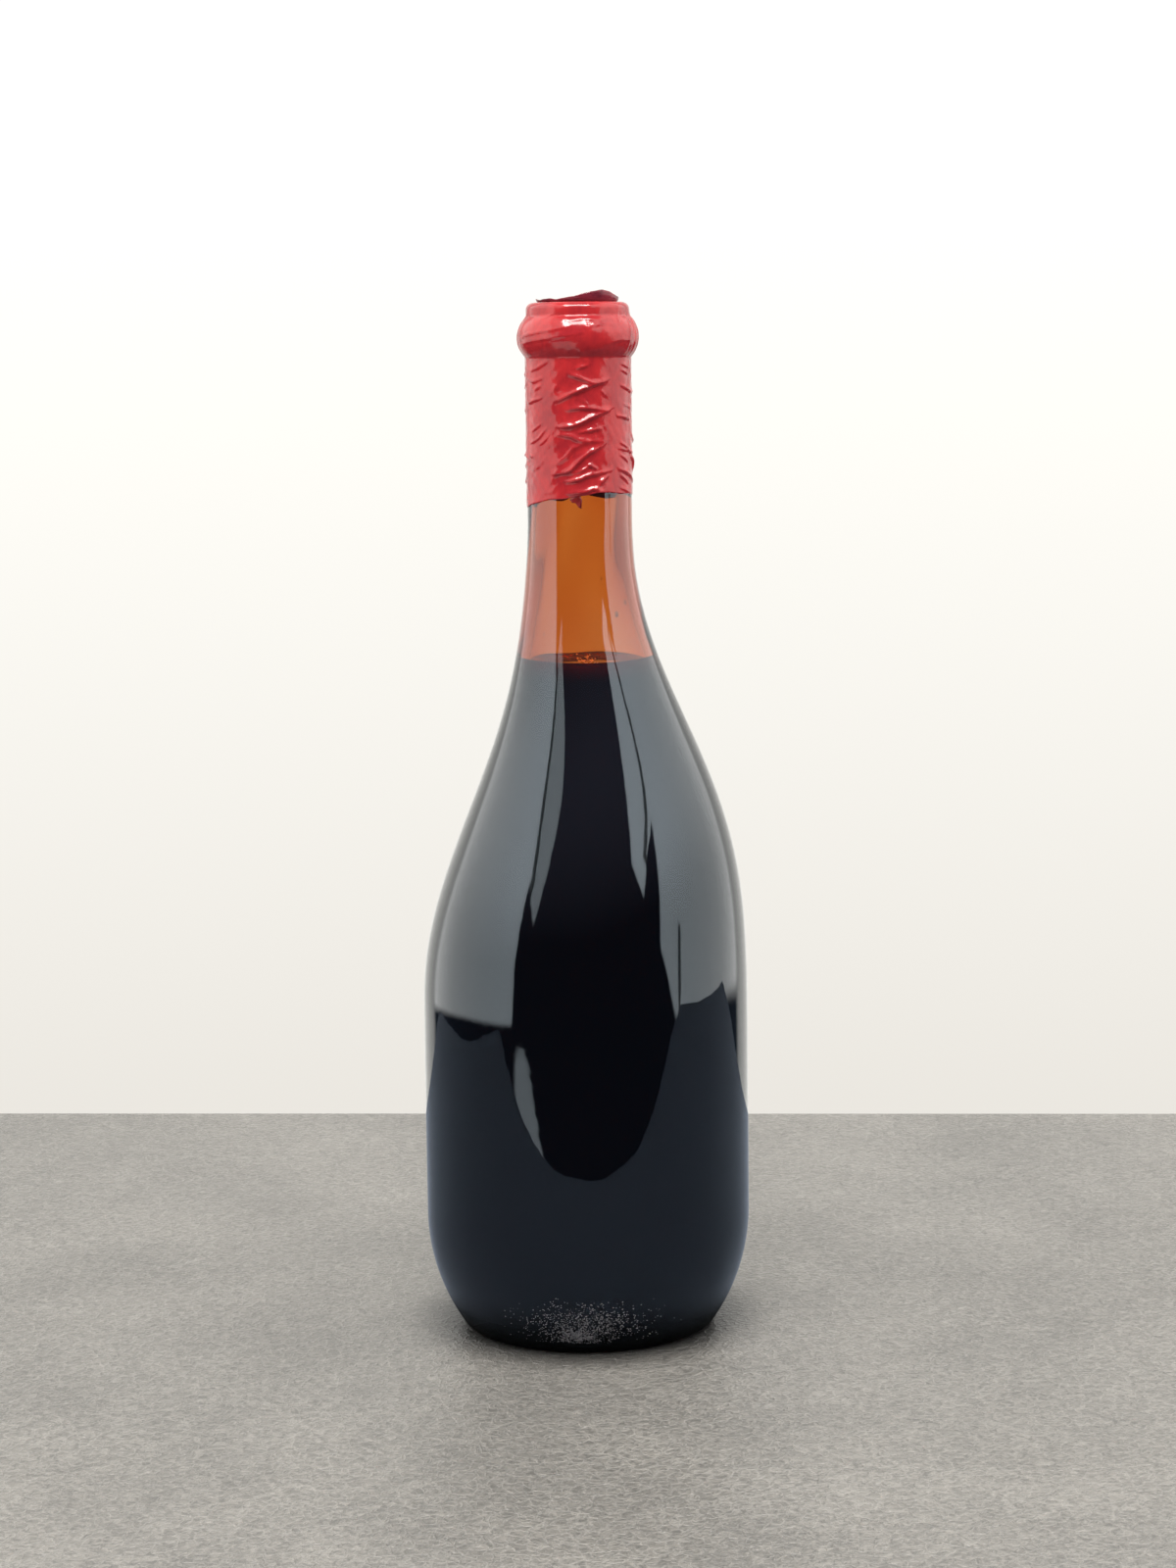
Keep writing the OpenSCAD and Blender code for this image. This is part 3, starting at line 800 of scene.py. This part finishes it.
def add_grain(points, faces, center, out, across, size, height):
    """A low closed dome on the glass."""
    up = np.cross(out, across)
    base = len(points)
    for share, lift in ((1.0, -GRAIN_ROOT), (0.72, height * 0.55), (0.34, height * 0.92)):
        for i in range(GRAIN_SIDES):
            t = 2 * math.pi * i / GRAIN_SIDES
            spot = center + size * share * (math.cos(t) * across + 0.8 * math.sin(t) * up) + lift * out
            points.append(spot.tolist())
    points.append((center + height * out).tolist())
    points.append((center - GRAIN_TIP * out).tolist())
    top, bottom = base + 3 * GRAIN_SIDES, base + 3 * GRAIN_SIDES + 1
    for k in range(2):
        for i in range(GRAIN_SIDES):
            j = (i + 1) % GRAIN_SIDES
            low, high = base + k * GRAIN_SIDES, base + (k + 1) * GRAIN_SIDES
            faces.append((low + i, low + j, high + j, high + i))
    for i in range(GRAIN_SIDES):
        j = (i + 1) % GRAIN_SIDES
        faces.append((base + 2 * GRAIN_SIDES + i, base + 2 * GRAIN_SIDES + j, top))
        faces.append((base + j, base + i, bottom))


def make_stipple(material):
    """Small raised grains of glass on the front of the heel, where the mould left it rough."""
    rng = np.random.default_rng(SEED + 8)
    heel = arc(HEEL_C, HEEL_R, FOOT_TURN, 0, 40)
    points, faces = [], []
    for count, turn, rise, sizes, heights in STIPPLE:
        for _ in range(count):
            a, z = math.radians(turn[0] + rng.normal(0, turn[1])), rise[0] + rng.normal(0, rise[1])
            size, height = rng.uniform(*sizes), rng.uniform(*heights)
            if not STIPPLE_LOW < z < STIPPLE_HIGH:
                continue
            r = radius_at(heel, z)
            tilt = math.atan2(HEEL_C[1] - z, r - HEEL_C[0])
            out = np.array([math.cos(a) * math.cos(tilt), math.sin(a) * math.cos(tilt), -math.sin(tilt)])
            across = np.array([-math.sin(a), math.cos(a), 0])
            center = np.array([r * math.cos(a), r * math.sin(a), z])
            add_grain(points, faces, center, out, across, size, height)
    grains = mesh_object("heel_stipple", points, faces, [material])
    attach(grains, "root")


# Outline of the small torn bit below the film's edge, as (direction, height)
TEAR = [(-101, 227.6), (-97, 228.2), (-90, 229.0), (-87.4, 227.4), (-88.2, 225.1), (-90.8, 225.4),
        (-94.5, 226.6), (-98, 226.7)]
TEAR_OUT, TEAR_T = 0.05, 0.10
TEAR_CURL, TEAR_CURL_FROM, TEAR_CURL_H = 0.45, 227.0, 2.0


def on_neck(out, degrees, z):
    """A point in millimetres, out from the neck's glass."""
    r, a = NECK_R + out, math.radians(degrees)
    return [r * math.cos(a), r * math.sin(a), z]


def make_tear(material):
    """A torn bit of the film, which hangs from the edge and stands a little off the glass. Its darker red is
    painted shade.
    """
    points, faces = [], []
    center = np.mean(TEAR, axis=0)
    for depth in (TEAR_OUT, TEAR_OUT + TEAR_T):
        for share in (1.0, 0.66, 0.33):
            for a, z in center + share * (np.array(TEAR) - center):
                curl = TEAR_CURL * np.clip((TEAR_CURL_FROM - z) / TEAR_CURL_H, 0, 1) ** 2
                points.append(on_neck(depth + curl, a, z))
        points.append(on_neck(depth + 0.02, *center))
    n = len(TEAR)
    half = 3 * n + 1
    for layer, out in ((0, False), (half, True)):
        for k in range(2):
            for i in range(n):
                j = (i + 1) % n
                low, high = layer + k * n, layer + (k + 1) * n
                quad = (low + i, low + j, high + j, high + i)
                faces.append(quad[::-1] if out else quad)
        for i in range(n):
            j = (i + 1) % n
            face = (layer + 2 * n + i, layer + 2 * n + j, layer + 3 * n)
            faces.append(face[::-1] if out else face)
    faces += [((i + 1) % n, i, half + i, half + (i + 1) % n) for i in range(n)]
    tear = mesh_object("capsule_tear", points, faces, [material])
    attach(tear, "root")


# ---- stage, light and camera ----
TABLE_BACK, TABLE_FRONT, TABLE_LEFT, TABLE_RIGHT, TABLE_T = 0.242, -0.236, -0.430, 0.600, 0.030
TABLE_SKEW = 0.0525         # how much nearer the back edge comes for each metre to the right
TABLE_PALE, TABLE_DARK = (0.158, 0.149, 0.134), (0.070, 0.067, 0.061)
TABLE_REFLECTED = (0.128, 0.149, 0.182)      # what the bottle reflects of it: the photo's is bluer
TABLE_VEIN, VEIN_SHARE = (0.30, 0.29, 0.265), (0.16, 0.24)
VEIN_CELLS, VEIN_BENDS, VEIN_WANDER = 300.0, 260.0, 0.006
# Painted shade on the table near the bottle: its colour and how far it reaches; then the table's gloss.
TABLE_SHADE, SHADE_REACH, TABLE_GLOSS = (0.012, 0.012, 0.011), 0.020, 0.40

# Directions in the world are in degrees: around, from 0 in front to 180 behind on either side, and up from
# level. Where a name ends in a pair of directions, the change between them is gradual.
WALL_LOW, WALL_HIGH, WALL_RISE = (0.82, 0.79, 0.735), (1.09, 1.08, 1.03), (-14.0, 4.0)
WALL_AROUND, WALL_SIDES = 0.56, (165.0, 110.0)       # what is left of it at the sides, seen through the glass
ROOM_DARK, ROOM_HIGH, ROOM_RISE = (0.050, 0.068, 0.100), (0.34, 0.33, 0.44), (10.0, 40.0)
PANEL, PANEL_FAR, PANEL_FADE = (4.20, 4.15, 4.00), 0.72, (60.0, 110.0)
PANEL_LEVELS, PANEL_CLIMB = (0.80, 1.18), (2.0, 26.0)
PANEL_END, PANEL_TOP, PANEL_BOTTOM = 136.0, 62.0, -10.5
# For the left and the right: a panel's front edge when level, and its move for each degree up and down
PANEL_GAP, PANEL_RISE, PANEL_DROP, PANEL_GAP_LEAST = (47.0, 54.6), (-0.30, -1.00), (-0.66, -1.00), 32.5
# The strip of panel before the dark upright ends in a slant: below it the panel starts at PANEL_LOW
PANEL_LOW, STRIP_LOW, STRIP_SLANT = 53.0, 14.0, 0.6
STRIP_LOST, STRIP_FADE = (0.38, 0.0), (13.0, 15.0)   # how much darker it is, for the left and the right
BAR_AT, BAR_WIDTH, BAR_FROM = (10.0, 11.0), 2.4, (15.0, 19.0)       # the uprights, past the panels' edges
BAR_LEAN, BAR_LEANS_FROM = 0.9, 22.0
POST_AT, POST_WIDTH, POST_TOP = 68.8, 1.5, (4.0, 2.0)               # a short dark post low on the right
LINES_DARKER = 0.85
CRESCENT = 0.55                               # a pale thing beyond the table's front edge, low on the left
CRESCENT_AT, CRESCENT_LEAN, CRESCENT_TOP, CRESCENT_END = 147.0, 8.3, (-12.0, -12.5), (53.0, 49.0)
KEY_PLACE, KEY_SIZE, KEY_POWER = (-0.06, -0.84, 1.62), (0.80, 0.50), 34.0
GLINT_SIZE, GLINT_POWER = (1.10, 0.50), 140.0
LAMP_AIM, LAMP_COLOUR = (0, 0, 0.2), (1.0, 0.975, 0.94)


def make_table(material):
    corners = [(TABLE_LEFT, TABLE_FRONT), (TABLE_RIGHT, TABLE_FRONT),
               (TABLE_RIGHT, TABLE_BACK - TABLE_SKEW * TABLE_RIGHT),
               (TABLE_LEFT, TABLE_BACK - TABLE_SKEW * TABLE_LEFT)]
    points = [(px / MM, py / MM, -TABLE_T / MM) for px, py in corners]
    points += [(px / MM, py / MM, 0) for px, py in corners]
    faces = [(3, 2, 1, 0), (4, 5, 6, 7), (0, 1, 5, 4), (1, 2, 6, 5), (2, 3, 7, 6), (3, 0, 4, 7)]
    table = mesh_object("stage_table_top", points, faces, [material])
    table.data.polygons.foreach_set("use_smooth", [False] * 6)


def make_world():
    """A pale wall all round for what is seen directly or through the glass.

    What the bottle reflects, and what lights it, is a studio: bright panels on the left and right, a pale
    wall behind, and a darker room in front between the panels.
    """
    world = bpy.data.worlds.new("studio")
    bpy.context.scene.world = world
    world.use_nodes = True
    tree = world.node_tree
    background = tree.nodes["Background"]
    place = add(tree, "ShaderNodeTexCoord")
    parts = add(tree, "ShaderNodeSeparateXYZ")
    tree.links.new(place.outputs["Generated"], parts.inputs[0])
    x, y, z = parts.outputs
    degree = 180 / math.pi
    turn = calc(tree, "ARCTAN2", calc(tree, "ABSOLUTE", x), calc(tree, "MULTIPLY", y, -1.0))
    around = calc(tree, "MULTIPLY", turn, degree)
    height = calc(tree, "MULTIPLY", calc(tree, "ARCSINE", z), degree)

    def by_side(pair):
        return remap(tree, x, -0.02, 0.02, *pair)

    def product(first, *others):
        for other in others:
            first = calc(tree, "MULTIPLY", first, other)
        return first

    # where the panels are
    rise = product(calc(tree, "MAXIMUM", height, 0.0), by_side(PANEL_RISE))
    drop = product(calc(tree, "MINIMUM", height, 0.0), by_side(PANEL_DROP))
    gap = calc(tree, "ADD", by_side(PANEL_GAP), calc(tree, "ADD", rise, drop))
    past_gap = calc(tree, "SUBTRACT", around, calc(tree, "MAXIMUM", gap, PANEL_GAP_LEAST))
    slanted = calc(tree, "MULTIPLY_ADD", past_gap, -STRIP_SLANT, height)
    strip_here = remap(tree, slanted, STRIP_LOW - 0.5, STRIP_LOW + 0.5)
    past_low = remap(tree, calc(tree, "SUBTRACT", around, PANEL_LOW), -1.0, 1.0)
    before_end = remap(tree, around, PANEL_END + 4, PANEL_END - 4)
    below_top = remap(tree, height, PANEL_TOP + 6, PANEL_TOP - 6)
    above_bottom = remap(tree, height, PANEL_BOTTOM - 0.8, PANEL_BOTTOM + 0.8)
    lit = product(remap(tree, past_gap, -1.0, 1.0), calc(tree, "MAXIMUM", strip_here, past_low),
                  before_end, below_top, above_bottom)

    # how bright they are, with the dark lines in front of them
    fade = remap(tree, around, *PANEL_FADE, 1.0, PANEL_FAR, smooth=False)
    climb = remap(tree, height, *PANEL_CLIMB, *PANEL_LEVELS)
    above = calc(tree, "MAXIMUM", calc(tree, "SUBTRACT", height, BAR_LEANS_FROM), 0.0)
    bar_at = calc(tree, "MULTIPLY_ADD", above, BAR_LEAN, by_side(BAR_AT))
    past_bar = calc(tree, "SUBTRACT", past_gap, bar_at)
    bar = remap(tree, calc(tree, "ABSOLUTE", past_bar), BAR_WIDTH, 0.4 * BAR_WIDTH)
    bar = product(bar, remap(tree, height, *BAR_FROM))
    from_post = calc(tree, "ABSOLUTE", calc(tree, "SUBTRACT", around, POST_AT))
    post = remap(tree, from_post, POST_WIDTH, 0.5 * POST_WIDTH)
    post = product(post, by_side((0.0, 1.0)), remap(tree, height, *POST_TOP))
    lines = calc(tree, "MULTIPLY_ADD", calc(tree, "MAXIMUM", bar, post), -LINES_DARKER, 1.0)
    lost = product(by_side(STRIP_LOST), remap(tree, height, *STRIP_FADE), remap(tree, past_bar, 1.0, -1.0))
    strip = calc(tree, "MULTIPLY_ADD", lost, -1.0, 1.0)
    panel = mix_colour(tree, product(fade, climb, lines, strip), (0, 0, 0), PANEL, clamp=False)

    # the room in front, the wall behind and the crescent
    behind = remap(tree, around, PANEL_END - 4, PANEL_END + 4)
    room = mix_colour(tree, remap(tree, height, *ROOM_RISE, smooth=False), ROOM_DARK, ROOM_HIGH)
    room = mix_colour(tree, behind, room, WALL_HIGH)
    studio = mix_colour(tree, lit, room, panel)
    crescent_edge = calc(tree, "MULTIPLY_ADD", height, CRESCENT_LEAN, CRESCENT_AT)
    crescent = product(remap(tree, calc(tree, "SUBTRACT", around, crescent_edge), -1.5, 1.5),
                       remap(tree, height, *CRESCENT_TOP), by_side((CRESCENT, 0.0)),
                       remap(tree, around, *CRESCENT_END))
    studio = mix_colour(tree, crescent, studio, PANEL)

    # the plain wall, for what is seen directly or through the glass
    wall = mix_colour(tree, remap(tree, height, *WALL_RISE, smooth=False), WALL_LOW, WALL_HIGH)
    rays = add(tree, "ShaderNodeLightPath")
    seen = calc(tree, "MAXIMUM", rays.outputs["Is Camera Ray"], rays.outputs["Is Transmission Ray"])
    aside = calc(tree, "MULTIPLY", rays.outputs["Is Transmission Ray"], remap(tree, around, *WALL_SIDES))
    wall = mix_colour(tree, calc(tree, "MULTIPLY_ADD", aside, WALL_AROUND - 1.0, 1.0), (0, 0, 0), wall)
    tree.links.new(mix_colour(tree, seen, studio, wall), background.inputs["Color"])
    background.inputs["Strength"].default_value = 1.0
    world.cycles.sampling_method = "MANUAL"
    world.cycles.sample_map_resolution = 1024


def make_lamp(name, size, power):
    data = bpy.data.lights.new(name, "AREA")
    data.shape = "RECTANGLE"
    data.size, data.size_y = size
    data.energy = power
    data.color = LAMP_COLOUR
    lamp = bpy.data.objects.new(name, data)
    bpy.context.scene.collection.objects.link(lamp)
    aim = Vector(LAMP_AIM) - Vector(KEY_PLACE)
    lamp.matrix_world = Matrix.Translation(KEY_PLACE) @ aim.to_track_quat("-Z", "Y").to_matrix().to_4x4()
    lamp.visible_camera = False
    return lamp


def make_lamps():
    """The lamp above the front, and a wider one in the same place that only makes the glints on the film."""
    make_lamp("key_light", KEY_SIZE, KEY_POWER)
    glint = make_lamp("glint_light", GLINT_SIZE, GLINT_POWER)
    glint.visible_diffuse = False
    glint.visible_transmission = False


CAMERA_PLACE = (0.001324, -0.8583, 0.2618)
CAMERA_PITCH, CAMERA_ROLL = 7.45, -0.683         # degrees downwards, and around the line of sight
CAMERA_LENS, CAMERA_SENSOR = 72.81, 36.0


def make_camera():
    data = bpy.data.cameras.new("camera")
    data.sensor_fit = "AUTO"
    data.sensor_width = CAMERA_SENSOR
    data.lens = CAMERA_LENS
    data.clip_start = 0.01
    camera = bpy.data.objects.new("camera", data)
    bpy.context.scene.collection.objects.link(camera)
    pitch, roll = math.radians(CAMERA_PITCH), math.radians(CAMERA_ROLL)
    side = Vector((1, 0, 0))
    up = Vector((0, math.sin(pitch), math.cos(pitch)))
    back = Vector((0, -math.cos(pitch), math.sin(pitch)))
    right = side * math.cos(roll) + up * math.sin(roll)
    above = up * math.cos(roll) - side * math.sin(roll)
    turned = Matrix((right, above, back)).transposed().to_4x4()
    camera.matrix_world = Matrix.Translation(CAMERA_PLACE) @ turned
    bpy.context.scene.camera = camera


make_camera()
make_world()
make_lamps()
make_table(floor_material())
inner_waver = make_glass(glass_material())
make_wine(wine_material("red_wine_side", False), wine_material("red_wine_surface", True), inner_waver)
make_foam(foam_material())
make_capsule(film_material("red_film", *RED_FILM))
make_disc(film_material("dark_film", *DARK_FILM))
make_tear(film_material("torn_film_painted_shade", *TORN_FILM_PAINTED_SHADE))
make_stipple(stipple_material())

scene = bpy.context.scene
scene.view_settings.view_transform = "Standard"
scene.cycles.transmission_bounces = 16
scene.cycles.max_bounces = 20
